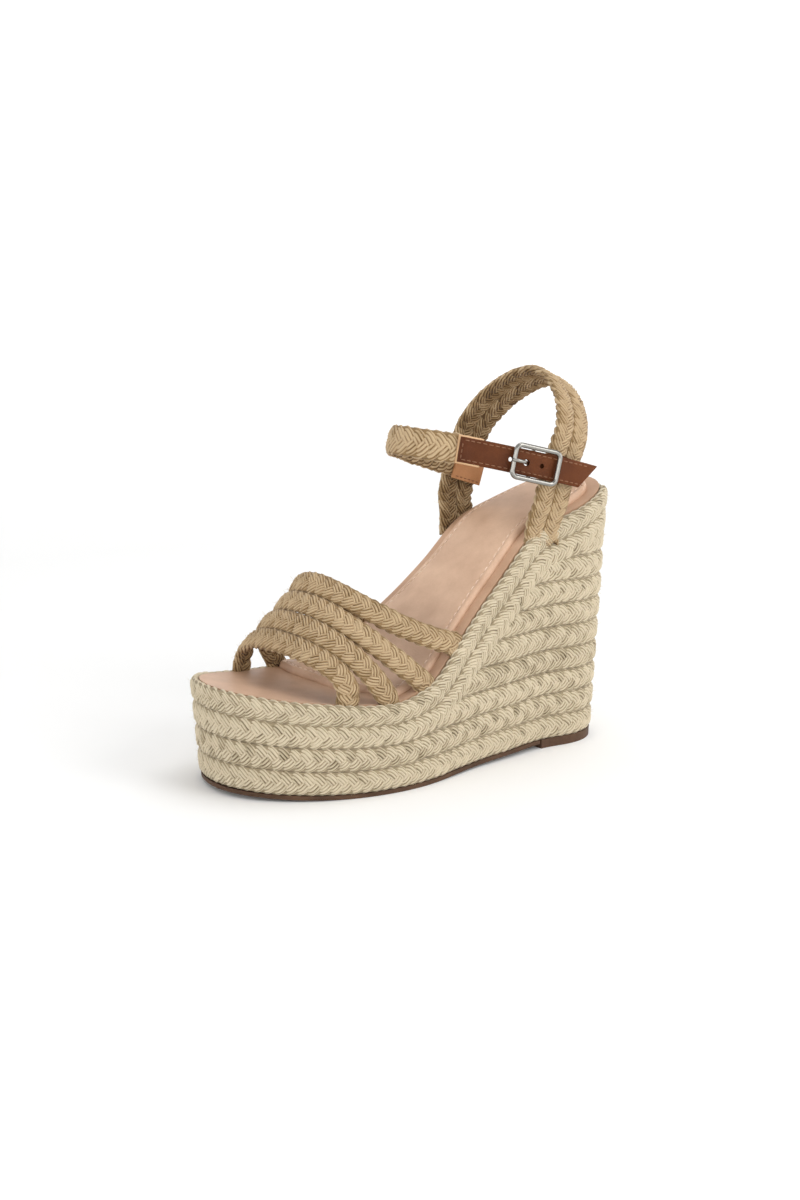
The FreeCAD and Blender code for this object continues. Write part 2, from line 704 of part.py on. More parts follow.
def prong(place):
    """Round pin with an eye round the centre bar; its tip rests on the front bar."""
    eye_inner = size("bar_dia") / 2 + size("running_gap")
    wire = size("prong_dia")
    eye_outer = eye_inner + wire * 0.62
    drop, lift = size("bar_drop"), size("frame_lift")
    front = -size("frame_long") / 2
    eye = Part.makeCylinder(eye_outer, wire, Vector(0, -wire / 2, -drop), Vector(0, 1, 0))
    tip_z = lift + size("frame_wire") / 2 + wire / 2 + 0.15
    points = [Vector(-eye_inner - 0.5, 0, 0.6 - drop), Vector(-4.1, 0, -0.9), Vector(-4.7, 0, 1.0),
              Vector(-7.0, 0, tip_z - 0.3), Vector(front - 1.2, 0, tip_z)]
    spine = Part.BSplineCurve()
    spine.interpolate(points)
    tangent = spine.tangent(spine.FirstParameter)[0]
    profile = Part.Wire(Part.Circle(points[0], tangent, wire / 2).toShape())
    pin = Part.Wire(spine.toShape()).makePipeShell([profile], True, False)
    ball = Part.makeSphere(wire / 2, points[-1])
    hole = Part.makeCylinder(eye_inner, wire * 3, Vector(0, -1.5 * wire, -drop), Vector(0, 1, 0))
    set_shape("buckle_prong", eye.fuse([pin, ball]).cut(hole).removeSplitter(), place)


def buckle_tab(place):
    """Leather loop: sewn to the lateral post, folded round the centre bar with the prong in its slot."""
    thick, drop = size("tab_thick"), size("bar_drop")
    inner = size("bar_dia") / 2 + size("running_gap")
    width = size("leather_width") - 0.6
    slot = size("prong_dia") + 0.6
    ring = Part.makeCylinder(inner + thick, width, Vector(0, -width / 2, -drop), Vector(0, 1, 0))
    ring = ring.cut(Part.makeCylinder(inner, width + 2, Vector(0, -width / 2 - 1, -drop), Vector(0, 1, 0)))
    ring = ring.cut(Part.makeBox(6, width, 6, Vector(0, -width / 2, -drop - 3)))
    ring.Placement = place
    height = -drop + inner + thick / 2
    face = post_half(TAB_RISE) + (size("strap_thick") + thick) / 2 + size("tab_gap")
    across = strap_width_way(TAB_RISE)
    path = [place.multVec(Vector(x, 0, height)) for x in (-0.05, 1.5, 3.5)]
    path += [strap_point(TAB_RISE, face) + across * reach for reach in (-6.5, -2.0, 3.0, 9.0)]
    tongue = band(path, [ANKLE_UP] * len(path), width, thick)
    opening = Part.makeBox(13, slot, 12, Vector(-10.2, -slot / 2, -drop - 6))
    opening.Placement = place
    set_shape("buckle_tab", ring.fuse(tongue).cut(opening).removeSplitter())


wedge()
sole()
footbed()
vamp()
heel_strap()
ankle_strap()
PLACE = buckle_place()
buckle_frame(PLACE)
prong(PLACE)
buckle_tab(PLACE)
doc.recompute()

os.makedirs("parts", exist_ok=True)
for item in doc.Objects:
    if "Invalid" in item.State or "Error" in item.State:
        raise RuntimeError(f"{item.Label}: {item.State}")
whole = FreeCAD.BoundBox()
for node in nodes:
    shape = node.Shape
    if shape.isNull() or not shape.isValid():
        raise RuntimeError(f"{node.Label}: empty or broken shape")
    limits = shape.optimalBoundingBox(False, False)
    whole.add(limits)
    print(f"{node.Label:26s} solids {len(shape.Solids)}  volume {shape.Volume:9.1f}  {limits}")
    shape.exportStep(f"parts/{node.Label}.step")
print("whole", whole)
print("heel strap's bending line", STRAP_AXIS, strap_point(size("hinge_rise"), 0.0))
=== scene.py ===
"""Looks of the wedge sandal: braided jute, leather and a wire buckle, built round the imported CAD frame."""
import math

import bpy
import numpy as np
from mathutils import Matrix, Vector


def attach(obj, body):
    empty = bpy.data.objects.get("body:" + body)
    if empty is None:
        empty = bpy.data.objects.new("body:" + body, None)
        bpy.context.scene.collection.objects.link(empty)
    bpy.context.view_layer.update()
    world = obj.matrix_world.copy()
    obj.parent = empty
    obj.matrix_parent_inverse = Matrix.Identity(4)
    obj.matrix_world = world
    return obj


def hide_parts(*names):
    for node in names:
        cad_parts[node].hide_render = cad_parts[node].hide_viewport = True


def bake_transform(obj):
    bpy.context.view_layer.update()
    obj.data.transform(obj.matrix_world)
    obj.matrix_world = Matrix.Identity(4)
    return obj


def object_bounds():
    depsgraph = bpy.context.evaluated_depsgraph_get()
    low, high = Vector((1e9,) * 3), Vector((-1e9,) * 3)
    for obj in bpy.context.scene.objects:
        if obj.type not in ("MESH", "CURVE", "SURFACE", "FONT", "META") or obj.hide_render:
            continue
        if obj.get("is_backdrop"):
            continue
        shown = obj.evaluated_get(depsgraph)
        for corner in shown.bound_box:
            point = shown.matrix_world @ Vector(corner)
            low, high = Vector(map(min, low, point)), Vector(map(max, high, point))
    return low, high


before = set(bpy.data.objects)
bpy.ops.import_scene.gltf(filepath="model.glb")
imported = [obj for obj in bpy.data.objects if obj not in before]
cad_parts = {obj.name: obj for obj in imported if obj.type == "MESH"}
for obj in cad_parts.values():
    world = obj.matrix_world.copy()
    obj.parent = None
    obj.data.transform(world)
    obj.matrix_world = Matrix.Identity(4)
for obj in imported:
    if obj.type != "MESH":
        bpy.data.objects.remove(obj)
cad_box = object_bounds()

# ---------------------------------------------------------------- sizes, in millimetres in the drawing frame
ORIGIN = np.array([-0.823, -1.417, 0.0])  # the row's origin in the drawing frame
HULL_HEIGHT = 140.0
BRAID_PITCH = 11.5
RIM_FLARE, BASE_FLARE = 4.35, 2.7
HEEL_PULL, TOE_PULL = 7.65, 3.1
ROW_SPLIT = -25.0  # in front of this station the four rows share the platform's height evenly
COVER_DEPTH = 1.2
PAD_INSET, PAD_FRONT = 6.5, -52.0
PAD_RISE = 4.2 * 0.86  # height of the pad's rolled edge
PAD_SEAM = 3.7  # seam inside the pad's edge
PAD_REACH = {17: 1.0, 18: 4.5, 19: 5.5}  # the pad comes nearer to the board's edge at the medial ball
VAMP_PITCH, VAMP_TAIL = 10.9, 5.0
STRAP_WIDTH, STRAP_RISE, STRAP_POST = 20.7, 83.3, 49.0
STRAP_HALF, STRAP_FOOT, STRAP_ROUND = 36.2, 31.8, 1.72
ANKLE_WIDTH, ANKLE_THICK = 14.0, 3.6
LEATHER_WIDTH, LEATHER_THICK, LEATHER_SPLIT = 12.6, 2.0, 73.0
HOLE_PITCH, HOLE_RADII = 8.3, (1.2, 1.6, 1.2)  # the prong goes through the middle hole

# Insole board outline in plan, from the toe round the lateral side, heel and medial side.
OUTLINE = np.array([
    (-10, -111.5), (12, -107.5), (29, -91.5), (39.5, -70), (45, -45), (43.5, -18), (36.5, 11.5),
    (32.5, 40), (29.5, 65), (30.5, 84), (23, 102), (0, 109), (-21, 100), (-28.5, 82),
    (-29.5, 60), (-27.5, 35), (-31.5, 7.5), (-41, -20), (-47, -48), (-41.5, -74.5), (-35, -97.5),
])
RIM = [(-122, 54.2), (-80, 47.5), (-45, 44.4), (-25, 48.6), (0, 68.4), (25, 90.5), (50, 111.5), (75, 120.4),
       (95, 127.4), (122, 137.6)]
UNDERSIDE = [(-122, 5.0), (-80, 2.6), (-60, 2.0), (-30, 2.0), (0, 2.9), (30, 3.9), (58, 4.6), (122, 4.6)]


def metres(points):
    return (np.asarray(points, dtype=float) - ORIGIN) * 0.001


def unit(vectors):
    vectors = np.asarray(vectors, dtype=float)
    return vectors / np.linalg.norm(vectors, axis=-1, keepdims=True)


# ---------------------------------------------------------------- shared curves
def monotone(points):
    """Smooth curve through points (monotone cubic), as a function of arrays."""
    xs, zs = (np.array(column, dtype=float) for column in zip(*points))
    gaps = np.diff(xs)
    steps = np.diff(zs) / gaps
    slopes = np.concatenate([[steps[0]], np.zeros(len(xs) - 2), [steps[-1]]])
    for i in range(1, len(xs) - 1):
        if steps[i - 1] * steps[i] > 0:
            slopes[i] = 2 / (1 / steps[i - 1] + 1 / steps[i])

    def at(x):
        x = np.clip(x, xs[0], xs[-1])
        i = np.clip(np.searchsorted(xs, x, side="right") - 1, 0, len(gaps) - 1)
        t = (x - xs[i]) / gaps[i]
        return ((1 + 2 * t) * (1 - t) ** 2 * zs[i] + t * (1 - t) ** 2 * gaps[i] * slopes[i]
                + t * t * (3 - 2 * t) * zs[i + 1] + t * t * (t - 1) * gaps[i] * slopes[i + 1])

    return at


rim_height = monotone(RIM)
underside = monotone(UNDERSIDE)
SIDE_VIEW = np.linspace(-122, 122, 245)


def row_height(y):
    return np.where(y < ROW_SPLIT, (rim_height(y) - underside(y)) / 4, BRAID_PITCH)


def under_rim(rows, extra=0.0):
    """Height, as a function of y, of the line some rows (and some mm) under the rim, square to it."""
    slope = rim_height(SIDE_VIEW + 0.5) - rim_height(SIDE_VIEW - 0.5)
    root = np.hypot(1, slope)
    depth = rows * row_height(SIDE_VIEW) + extra
    ys = SIDE_VIEW + depth * slope / root
    zs = rim_height(SIDE_VIEW) - depth / root
    return lambda y: np.interp(y, ys, zs)


lower_seam = under_rim(2)


def spline(points, closed=False):
    """Smooth curve through points, spaced by chord length, as (function of length, lengths at the points)."""
    points = np.asarray(points, dtype=float)
    ring = np.vstack([points, points[:1]]) if closed else points
    gaps = np.linalg.norm(np.diff(ring, axis=0), axis=1)
    secants = np.diff(ring, axis=0) / gaps[:, None]
    count = len(points)
    system = np.zeros((count, count))
    target = np.zeros_like(points)
    for i in range(count):
        if not closed and i in (0, count - 1):
            inner = 1 if i == 0 else count - 2
            system[i, i], system[i, inner] = 2, 1
            target[i] = 3 * secants[0 if i == 0 else -1]
            continue
        before, after = gaps[i - 1], gaps[i]
        system[i, i - 1] += after
        system[i, i] += 2 * (before + after)
        system[i, (i + 1) % count] += before
        target[i] = 3 * (after * secants[i - 1] + before * secants[i])
    slopes = np.linalg.solve(system, target)
    knots = np.concatenate([[0], np.cumsum(gaps)])
    total = knots[-1]

    def at(length):
        length = np.mod(length, total) if closed else np.clip(length, 0, total)
        i = np.clip(np.searchsorted(knots, length, side="right") - 1, 0, len(gaps) - 1)
        t = ((length - knots[i]) / gaps[i])[..., None]
        gap = gaps[i][..., None]
        after = (i + 1) % count
        return ((1 + 2 * t) * (1 - t) ** 2 * points[i] + t * (1 - t) ** 2 * gap * slopes[i]
                + t * t * (3 - 2 * t) * points[after] + t * t * (t - 1) * gap * slopes[after])

    return at, knots


def outline_normals():
    run = unit(np.roll(OUTLINE, -1, axis=0) - np.roll(OUTLINE, 1, axis=0))
    return np.stack([run[:, 1], -run[:, 0]], axis=1)


def board_points(offset, reach=None):
    offsets = np.full(len(OUTLINE), float(offset))
    for index, more in (reach or {}).items():
        offsets[index] += more
    return OUTLINE + outline_normals() * offsets[:, None]


def ground_points(offset):
    points = board_points(offset)
    heel = np.clip((points[:, 1] - 40) / 70, 0, 1)
    toe = np.clip((-points[:, 1] - 60) / 50, 0, 1)
    points[:, 1] += TOE_PULL * toe - HEEL_PULL * heel
    return points


def block_points(rim_offset, base_offset):
    low, high = ground_points(base_offset), board_points(rim_offset)
    return low + (high - low) * (HULL_HEIGHT / rim_height(high[:, 1]))[:, None]


wall_low, wall_knots = spline(ground_points(BASE_FLARE), closed=True)
wall_high, high_knots = spline(block_points(RIM_FLARE, BASE_FLARE), closed=True)


def wall_point(where, z):
    """Point of the wrap's outer surface at a length round its foot and a height."""
    low = wall_low(where)
    high = wall_high(np.interp(where, wall_knots, high_knots))
    plan = low + (high - low) * (z / HULL_HEIGHT)[:, None]
    return np.column_stack([plan, z])


def wall_line(height, where):
    """The line round the wall whose height is a function of y, with its outward normals."""
    z = np.full(len(where), 20.0)
    for _ in range(8):
        z = height(wall_point(where, z)[:, 1])
    points = wall_point(where, z)
    ahead = wall_point(where + 0.5, z) - wall_point(where - 0.5, z)
    rise = wall_point(where, z + 1) - wall_point(where, z)
    return points, unit(np.cross(ahead, rise))


# ---------------------------------------------------------------- mesh making
class Pile:
    """Collects tubes and patches, then turns them into one mesh object."""

    def __init__(self):
        self.points, self.faces, self.uvs, self.shades, self.count = [], [], [], [], 0

    def grid(self, points, shade, uv_long, uv_round, wrap_long, wrap_round):
        """Adds a grid of points (rows along, columns round) as quads."""
        rows, columns = points.shape[:2]
        i = np.arange(rows if wrap_long else rows - 1)
        j = np.arange(columns if wrap_round else columns - 1)
        i, j = (part.ravel() for part in np.meshgrid(i, j, indexing="ij"))
        i2, j2 = (i + 1) % rows, (j + 1) % columns
        quads = np.stack([i * columns + j, i * columns + j2, i2 * columns + j2, i2 * columns + j], axis=1)
        self.faces.extend((quads + self.count).tolist())
        ahead, beside = i + 1, j + 1
        corners = [(i, j), (i, beside), (ahead, beside), (ahead, j)]
        uv = np.stack([np.stack([uv_round[b], uv_long[a]], axis=1) for a, b in corners], axis=1)
        self.uvs.append(uv.reshape(-1, 2))
        self.points.append(points.reshape(-1, 3))
        self.shades.append(np.broadcast_to(shade, points.shape[:2]).reshape(-1))
        start = self.count
        self.count += rows * columns
        return start

    def cap(self, indices, uv=(0.0, 0.0)):
        self.faces.append(list(indices))
        self.uvs.append(np.tile(uv, (len(indices), 1)))

    def tube(self, centres, side, up, section, shade=0.5, closed=False, uv_start=0.0):
        """Adds a tube. section holds its outline (across, up) in mm, for every row or for each."""
        rows = len(centres)
        section = np.broadcast_to(section, (rows, *np.shape(section)[-2:]))
        round_count = section.shape[1]
        step = np.linalg.norm(np.diff(centres, axis=0), axis=1)
        length = np.concatenate([[0], np.cumsum(step)])
        points = centres[:, None, :] + section[..., :1] * side[:, None, :] + section[..., 1:] * up[:, None, :]
        uv_long = uv_start + np.append(length, length[-1] + step[-1])
        start = self.grid(points, shade, uv_long, np.linspace(0, 1, round_count + 1), closed, True)
        if not closed:
            self.cap(range(start + round_count - 1, start - 1, -1))
            last = start + (rows - 1) * round_count
            self.cap(range(last, last + round_count))
        return points

    def piece(self, name, body, material, smooth=True):
        """Makes the mesh object, in metres in the row frame, riding on a body unless that is None."""
        mesh = bpy.data.meshes.new(name)
        mesh.from_pydata(metres(np.vstack(self.points)).tolist(), [], self.faces)
        layer = mesh.uv_layers.new(name="UVMap")
        layer.data.foreach_set("uv", np.vstack(self.uvs).ravel())
        shade = mesh.attributes.new("shade", "FLOAT", "POINT")
        shade.data.foreach_set("value", np.concatenate(self.shades))
        mesh.polygons.foreach_set("use_smooth", [smooth] * len(mesh.polygons))
        mesh.materials.append(material)
        mesh.validate()
        piece = bpy.data.objects.new(name, mesh)
        bpy.context.scene.collection.objects.link(piece)
        if body:
            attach(piece, body)
        return piece


def resample(line, count, closed):
    """Even places along a polyline with columns of extra values, as (values, length)."""
    line = np.asarray(line, dtype=float)
    if closed:
        line = np.vstack([line, line[:1]])
    lengths = np.concatenate([[0], np.cumsum(np.linalg.norm(np.diff(line[:, :3], axis=0), axis=1))])
    wanted = np.linspace(0, lengths[-1], count, endpoint=not closed)
    return np.column_stack([np.interp(wanted, lengths, column) for column in line.T]), lengths[-1]


def drift(rng, count, closed, waves):
    """Slow random change along a line, about -1 to 1, the same at both ends of a closed one."""
    phase = np.linspace(0, 2 * math.pi, count, endpoint=not closed)
    total = np.zeros(count)
    for wave in waves:
        total += rng.normal() * np.cos(wave * phase) + rng.normal() * np.sin(wave * phase)
    return total / math.sqrt(2 * len(waves))


# ---------------------------------------------------------------- plaits
ALONG_STEPS = 22  # rows of points in one period of a strand
YARNS = 4  # yarns side by side in one strand
FACE_POINTS = 25  # points across one face of a strand
FLATNESS = 2.8  # how square the strand's section is
SWAY = 0.285  # how far a strand swings to each side, for unit width of the plait
TURN = 0.72  # how sharply a strand turns back at the edge
PILLOW = 0.14  # how far the edges fall back, for unit thickness
FILL = 0.5  # half width of the strip inside the plait that closes the gaps
FILL_THICK, FILL_SHADE = 0.2, 0.45  # its half thickness, for unit thickness of the plait, and its shade
CROSSING = 0.19  # how far a strand rises over the others, for unit thickness
STRAND_WIDE, STRAND_THICK = 0.262, 0.3  # half sizes of a strand, for unit width and thickness of the plait
# Painted shade in the jute's colour: strands are darker where they dive under the others and in the grooves
# between yarns, and lighter where they pass over and on each yarn's ridge.
PAINTED_SHADE_DEEP, PAINTED_LIGHT_OVER, PAINTED_LIGHT_RIDGE = 0.07, 0.33, 0.55  # shade deep down, added on top, and on a yarn's ridge
# Outlines of a thread and of the filling strip, both for unit size.
ROUND = np.array([(math.cos(a), math.sin(a)) for a in np.linspace(0, 2 * math.pi, 8, endpoint=False)])
FLAT = np.array([(1, 0), (0.93, 0.8), (0.5, 1), (-0.5, 1), (-0.93, 0.8), (-1, 0), (-0.93, -0.8), (-0.5, -1),
                 (0.5, -1), (0.93, -0.8)])


def yarn_face(count):
    """Upper half of a strand's section from edge to edge: across, up and ridge, each for unit size."""
    across = np.linspace(1, -1, count)
    ridge = np.abs(np.cos(math.pi * YARNS * across / 2)) ** 0.9
    return across, np.sqrt(np.maximum(0, 1 - np.abs(across) ** FLATNESS)), ridge


def strand_section(two_faced):
    """Outline of a strand for unit size, with its ridges; the under side of a one-faced one is plain."""
    across, high, ridge = yarn_face(FACE_POINTS)
    if two_faced:
        return (np.concatenate([across, -across[1:-1]]), np.concatenate([high, -high[1:-1]]),
                np.concatenate([ridge, ridge[1:-1]]))
    under = np.linspace(-1, 1, 7)[1:-1]
    return (np.concatenate([across, under]), np.concatenate([high, -np.sqrt(1 - under ** 2)]),
            np.concatenate([ridge, np.ones(5)]))


class Plait:
    """Three flattened strands that cross over and under each other along a line."""

    def __init__(self, pile, rng, two_faced=False):
        self.pile, self.rng = pile, rng
        self.across, self.high, self.ridge = strand_section(two_faced)
        self.skins = []

    def lay(self, path, out, width, thick, period, closed=False, sense=1):
        """path and out are arrays; width may change along the path; sense +1 points the Vs at its start."""
        width = np.broadcast_to(width, len(path))
        length = resample(path, 10, closed)[1]
        periods = max(1, round(length / period)) if closed else length / period
        count = int(periods * ALONG_STEPS)
        values, length = resample(np.column_stack([path, out, width]), count, closed)
        path, out, width = values[:, :3], unit(values[:, 3:6]), values[:, 6]
        along = self.slope(path, closed)
        across = unit(np.cross(out, along))
        out = np.cross(along, across)
        phase = 2 * math.pi * periods * np.arange(count) / (count if closed else count - 1)
        waves = [int(w) for w in np.linspace(3, max(4, periods * 0.9), 5)]
        quick_waves = [int(w) for w in np.linspace(periods, max(4, periods * 3), 6)]
        lead = self.rng.uniform(0, 2 * math.pi)
        for strand in range(3):
            t = phase + strand * 2 * math.pi / 3 + lead + 0.09 * drift(self.rng, count, closed, waves)
            lift = np.tanh(1.7 * np.sin(2 * t)) / math.tanh(1.7)
            swing = np.arcsin(TURN * np.sin(t)) / math.asin(TURN)
            sway = SWAY * width * swing * (1 + 0.035 * drift(self.rng, count, closed, waves))
            centre = path + across * sway[:, None]
            centre = centre + out * (sense * CROSSING * thick * lift - PILLOW * thick * swing ** 2)[:, None]
            tangent = self.slope(centre, closed)
            side = unit(np.cross(out, tangent))
            up = np.cross(tangent, side)
            plump = 1 + 0.05 * drift(self.rng, count, closed, waves)
            tone = 0.05 * self.rng.normal() + 0.055 * drift(self.rng, count, closed, waves)
            tone = tone + 0.05 * drift(self.rng, count, closed, quick_waves)
            over = 0.5 + 0.5 * sense * lift
            yarn_tone = np.interp(self.across, np.linspace(-1, 1, YARNS), 0.12 * self.rng.normal(size=YARNS))
            # painted shade from crossings and yarn grooves, added to each strand's and yarn's own random tone
            shade = (PAINTED_SHADE_DEEP + PAINTED_LIGHT_OVER * over + tone)[:, None] + yarn_tone + PAINTED_LIGHT_RIDGE * self.ridge
            half_width, half_thick = STRAND_WIDE * width * plump, STRAND_THICK * thick * plump
            section = np.stack([half_width[:, None] * self.across,
                                half_thick[:, None] * self.high * (0.55 + 0.5 * self.ridge)], axis=2)
            skin = self.pile.tube(centre, side, up, section, shade, closed, self.rng.uniform(0, 400))
            self.skins.append((skin, out, tangent, over))
        filling = np.stack([np.outer(FILL * width, FLAT[:, 0]),
                            np.tile(FILL_THICK * thick * FLAT[:, 1], (count, 1))], axis=2)
        self.pile.tube(path[::3], across[::3], out[::3], filling[::3], FILL_SHADE, closed)

    @staticmethod
    def slope(line, closed):
        if closed:
            return unit(np.roll(line, -1, axis=0) - np.roll(line, 1, axis=0))
        return unit(np.gradient(line, axis=0))


def fibres(plait, pile, rng, per_skin, longest):
    """Fine loose fibres that stand off the outer side of a plait's strands, as thin three-sided hairs."""
    corner = np.arange(3) * 2 * math.pi / 3
    for skin, out, tangent, over in plait.skins:
        rows = len(skin)
        for _ in range(per_skin):
            row, column = rng.integers(rows), rng.integers(FACE_POINTS)
            if over[row] < 0.35:
                continue
            way = unit(out[row] * rng.uniform(0.1, 0.9)
                       + tangent[row] * rng.choice([-1, 1]) * rng.uniform(0.3, 1)
                       + rng.normal(size=3) * 0.35)
            bend = unit(rng.normal(size=3)) * 0.5
            size = rng.uniform(0.35, 1.0) ** 1.5 * longest
            t = np.array([0.0, 0.4, 0.75, 1.0])[:, None]
            line = skin[row, column] - way * 0.2 + way * t * size + bend * t ** 2 * size * 0.6
            side = unit(np.cross(way, bend + out[row] * 0.01))
            up = np.cross(way, side)
            radius = np.array([0.055, 0.05, 0.04, 0.015])[:, None, None]
            ring = np.cos(corner)[None, :, None] * side + np.sin(corner)[None, :, None] * up
            points = line[:, None, :] + radius * ring
            start = pile.grid(points, 0.9, np.arange(4.0), np.linspace(0, 1, 4), False, True)
            pile.cap((start + 2, start + 1, start))
            pile.cap((start + 9, start + 10, start + 11))


# ---------------------------------------------------------------- materials
def new_material(name, rough, **sockets):
    """Principled material; returns (material, nodes, links, shader)."""
    material = bpy.data.materials.new(name)
    material.use_nodes = True
    tree = material.node_tree
    shader = tree.nodes["Principled BSDF"]
    shader.inputs["Roughness"].default_value = rough
    for socket, value in sockets.items():
        shader.inputs[socket.replace("_", " ")].default_value = value
    return material, tree.nodes, tree.links, shader


def coordinates(nodes, links, kind, scale):
    source = nodes.new("ShaderNodeTexCoord")
    mapping = nodes.new("ShaderNodeMapping")
    mapping.inputs["Scale"].default_value = scale
    links.new(source.outputs[kind], mapping.inputs["Vector"])
    return mapping.outputs["Vector"]


def noise(nodes, links, vector, scale, detail=4.0, roughness=0.55):
    node = nodes.new("ShaderNodeTexNoise")
    node.inputs["Scale"].default_value = scale
    node.inputs["Detail"].default_value = detail
    node.inputs["Roughness"].default_value = roughness
    links.new(vector, node.inputs["Vector"])
    return node.outputs["Fac"]


def ramp(nodes, links, factor, stops):
    node = nodes.new("ShaderNodeValToRGB")
    elements = node.color_ramp.elements
    while len(elements) < len(stops):
        elements.new(0.5)
    for element, (position, colour) in zip(elements, stops):
        element.position = position
        element.color = (*colour, 1)
    links.new(factor, node.inputs["Fac"])
    return node.outputs["Color"]


def add(nodes, links, first, second, weight=1.0):
    node = nodes.new("ShaderNodeMath")
    node.operation = "MULTIPLY_ADD"
    node.inputs[1].default_value = weight
    links.new(second, node.inputs[0])
    links.new(first, node.inputs[2])
    return node.outputs[0]


def bump(nodes, links, shader, height, strength, distance):
    node = nodes.new("ShaderNodeBump")
    node.inputs["Strength"].default_value = strength
    node.inputs["Distance"].default_value = distance
    links.new(height, node.inputs["Height"])
    links.new(node.outputs["Normal"], shader.inputs["Normal"])


def jute(name, dark, middle, light):
    """Jute: coloured by each strand's own tone and by painted shade in its crevices and under its crossings,
    with fine fibres along each strand.
    """
    material, nodes, links, shader = new_material(name, 0.85, Specular_IOR_Level=0.2, Sheen_Weight=0.12,
                                                  Sheen_Roughness=0.5)
    shade = nodes.new("ShaderNodeAttribute")
    shade.attribute_name = "shade"
    streaks = noise(nodes, links, coordinates(nodes, links, "UV", (26.0, 0.28, 1.0)), 1.0, 6.0, 0.7)
    patches = noise(nodes, links, coordinates(nodes, links, "Object", (1.0, 1.0, 1.0)), 90.0, 3.0)
    tone = add(nodes, links, shade.outputs["Fac"], streaks, 0.75)
    tone = add(nodes, links, tone, patches, 0.2)
    shift = nodes.new("ShaderNodeMath")
    shift.operation = "SUBTRACT"
    links.new(tone, shift.inputs[0])
    shift.inputs[1].default_value = 0.475
    # the ramp's dark end is reached mostly by the painted shade in crevices and under crossings
    colour = ramp(nodes, links, shift.outputs[0], [(0.15, dark), (0.5, middle), (0.85, light)])
    links.new(colour, shader.inputs["Base Color"])
    grain = noise(nodes, links, coordinates(nodes, links, "UV", (60.0, 0.9, 1.0)), 1.0, 5.0, 0.65)
    bump(nodes, links, shader, add(nodes, links, grain, streaks, 1.0), 0.55, 0.0006)
    return material


def leather(name, dark, light, grain_scale, grain_depth, rough, gloss=0.5):
    """Leather: pebbled grain, soft colour changes and an uneven shine."""
    material, nodes, links, shader = new_material(name, rough, Specular_IOR_Level=gloss)
    place = coordinates(nodes, links, "Object", (1.0, 1.0, 1.0))
    cloud = noise(nodes, links, place, 60.0, 5.0)
    fine = noise(nodes, links, place, grain_scale * 0.8, 4.0, 0.7)
    colour = ramp(nodes, links, add(nodes, links, cloud, fine, 0.25), [(0.4, dark), (0.8, light)])
    links.new(colour, shader.inputs["Base Color"])
    pebbles = nodes.new("ShaderNodeTexVoronoi")
    pebbles.feature = "SMOOTH_F1"
    pebbles.inputs["Scale"].default_value = grain_scale
    links.new(place, pebbles.inputs["Vector"])
    bump(nodes, links, shader, add(nodes, links, pebbles.outputs["Distance"], fine, 0.6), grain_depth, 0.0004)
    shine = nodes.new("ShaderNodeMapRange")
    shine.inputs["To Min"].default_value = rough - 0.1
    shine.inputs["To Max"].default_value = rough + 0.12
    links.new(cloud, shine.inputs["Value"])
    links.new(shine.outputs["Result"], shader.inputs["Roughness"])
    return material


def metal(name, colour):
    """Nickel plate with faint wipe marks."""
    material, nodes, links, shader = new_material(name, 0.18, Metallic=1.0)
    place = coordinates(nodes, links, "Object", (1.0, 1.0, 1.0))
    marks = noise(nodes, links, place, 900.0, 4.0)
    links.new(ramp(nodes, links, marks, [(0.3, [0.85 * c for c in colour]), (0.7, colour)]),
              shader.inputs["Base Color"])
    shine = nodes.new("ShaderNodeMapRange")
    shine.inputs["To Min"].default_value = 0.1
    shine.inputs["To Max"].default_value = 0.3
    links.new(marks, shine.inputs["Value"])
    links.new(shine.outputs["Result"], shader.inputs["Roughness"])
    bump(nodes, links, shader, marks, 0.05, 0.0001)
    return material


# Each jute's dark colour shows mostly as painted shade in crevices and under crossings.
WEDGE_JUTE = jute("wedge_jute_yarn", (0.07, 0.045, 0.02), (0.355, 0.285, 0.18), (0.63, 0.54, 0.39))
STRAP_JUTE = jute("strap_jute_yarn", (0.075, 0.038, 0.013), (0.275, 0.175, 0.08), (0.51, 0.375, 0.225))
BROWN_LEATHER = leather("brown_leather", (0.065, 0.017, 0.005), (0.12, 0.036, 0.011), 1500.0, 0.25, 0.42,
                        gloss=0.12)
TAN_LEATHER = leather("tan_leather", (0.33, 0.14, 0.052), (0.47, 0.225, 0.10), 1400.0, 0.3, 0.55, 0.25)
PAD_LEATHER = leather("footbed_leather", (0.53, 0.335, 0.22), (0.67, 0.455, 0.315), 1300.0, 0.16, 0.5)
COVER_LEATHER = leather("cover_leather", (0.46, 0.275, 0.17), (0.59, 0.375, 0.245), 1300.0, 0.16, 0.55)
CUT_EDGE = leather("cut_leather_edge", (0.50, 0.30, 0.15), (0.66, 0.43, 0.25), 2500.0, 0.5, 0.8)
RUBBER = leather("brown_rubber", (0.05, 0.024, 0.012), (0.10, 0.052, 0.028), 700.0, 0.35, 0.6, 0.25)
CORE = leather("core_cork", (0.16, 0.105, 0.05), (0.30, 0.21, 0.12), 600.0, 0.5, 0.9)
BOARD = leather("pressed_board", (0.35, 0.25, 0.15), (0.48, 0.36, 0.23), 900.0, 0.4, 0.85)
# Painted reflection: the nickel colour is kept far darker than bright plate, standing in for darker
# surroundings mirrored in the buckle.
NICKEL = metal("nickel", (0.32, 0.31, 0.285))
PALE_THREAD = leather("pale_thread", (0.72, 0.52, 0.40), (0.90, 0.72, 0.58), 3000.0, 0.6, 0.7)
BROWN_THREAD = leather("brown_thread", (0.17, 0.07, 0.03), (0.27, 0.12, 0.055), 3000.0, 0.6, 0.7)

